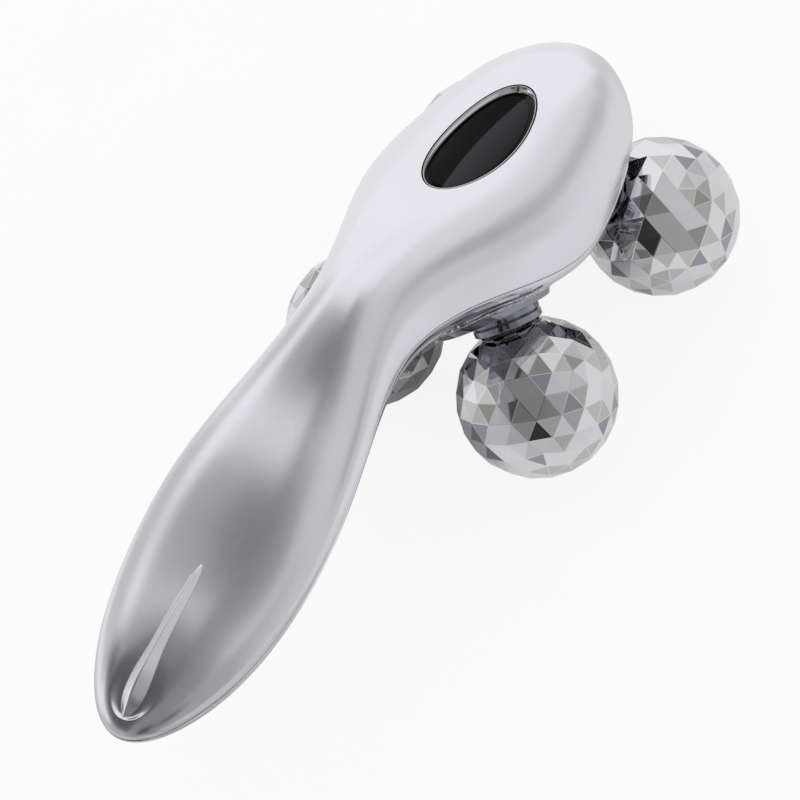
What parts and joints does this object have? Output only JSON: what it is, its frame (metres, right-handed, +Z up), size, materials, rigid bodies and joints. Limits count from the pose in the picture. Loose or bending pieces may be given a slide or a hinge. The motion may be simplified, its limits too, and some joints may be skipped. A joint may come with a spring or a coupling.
{
  "type": "body roller massager",
  "caption": "Plated body massage roller: a curved one-hand handle with a dark window in its broad head, and faceted balls that roll freely on splayed axles under the head.",
  "frame": {"origin": "on the ground under the middle of the whole length, on the plane that halves the massager left and right", "axes": "+X from the tail of the handle to the head, +Y to the massager's left, +Z up from the ground that the balls stand on"},
  "size_m": [0.1901, 0.0788, 0.0706],
  "materials": {
    "plating": "polished",
    "mirror_plating": "polished",
    "window": "gloss",
    "cell": "satin",
    "rubber": "matte",
    "polymer": "satin",
    "steel": "satin",
    "brass": "satin",
    "casting": "satin",
    "red_lead": "satin",
    "black_lead": "satin"
  },
  "bodies": {
    "handle": {"upper_shell": "plating", "lower_shell": "plating", "seam_seal": "rubber", "case_screw_rear": "steel", "case_screw_front": "steel", "window_bezel": "mirror_plating", "window_gasket": "rubber", "solar_window": "window", "solar_cell": "cell", "cell_carrier": "polymer", "carrier_screw_rear": "steel", "carrier_screw_front": "steel", "axle_chassis": "casting", "chassis_terminal": "brass", "chassis_screw_1": "steel", "chassis_screw_2": "steel", "chassis_screw_3": "steel", "chassis_screw_4": "steel", "handle_lead": "red_lead", "roller_lead": "black_lead", "handle_contact": "brass", "axle_rear_left": "steel", "clip_ring_rear_left": "steel", "leg_collar_rear_left": "mirror_plating", "set_screw_rear_left": "steel", "axle_rear_right": "steel", "clip_ring_rear_right": "steel", "leg_collar_rear_right": "mirror_plating", "set_screw_rear_right": "steel", "axle_front_left": "steel", "clip_ring_front_left": "steel", "leg_collar_front_left": "mirror_plating", "set_screw_front_left": "steel", "axle_front_right": "steel", "clip_ring_front_right": "steel", "leg_collar_front_right": "mirror_plating", "set_screw_front_right": "steel"},
    "roller_rear_left": {"roller_ball_rear_left": "mirror_plating", "roller_hub_rear_left": "polymer", "outer_bush_rear_left": "brass", "inner_bush_rear_left": "brass"},
    "roller_rear_right": {"roller_ball_rear_right": "mirror_plating", "roller_hub_rear_right": "polymer", "outer_bush_rear_right": "brass", "inner_bush_rear_right": "brass"},
    "roller_front_left": {"roller_ball_front_left": "mirror_plating", "roller_hub_front_left": "polymer", "outer_bush_front_left": "brass", "inner_bush_front_left": "brass"},
    "roller_front_right": {"roller_ball_front_right": "mirror_plating", "roller_hub_front_right": "polymer", "outer_bush_front_right": "brass", "inner_bush_front_right": "brass"}
  },
  "joints": [
    {"name": "roller_spin_rear_left", "type": "hinge", "parent": "handle", "child": "roller_rear_left", "pos_m": [0.02492, 0.0221, 0.01719], "axis": [0.4353, -0.5572, 0.7071], "continuous": true},
    {"name": "roller_spin_rear_right", "type": "hinge", "parent": "handle", "child": "roller_rear_right", "pos_m": [0.02492, -0.0221, 0.01719], "axis": [0.4353, 0.5572, 0.7071], "continuous": true},
    {"name": "roller_spin_front_left", "type": "hinge", "parent": "handle", "child": "roller_front_left", "pos_m": [0.07772, 0.0221, 0.01719], "axis": [-0.4353, -0.5572, 0.7071], "continuous": true},
    {"name": "roller_spin_front_right", "type": "hinge", "parent": "handle", "child": "roller_front_right", "pos_m": [0.07772, -0.0221, 0.01719], "axis": [-0.4353, 0.5572, 0.7071], "continuous": true}
  ]
}
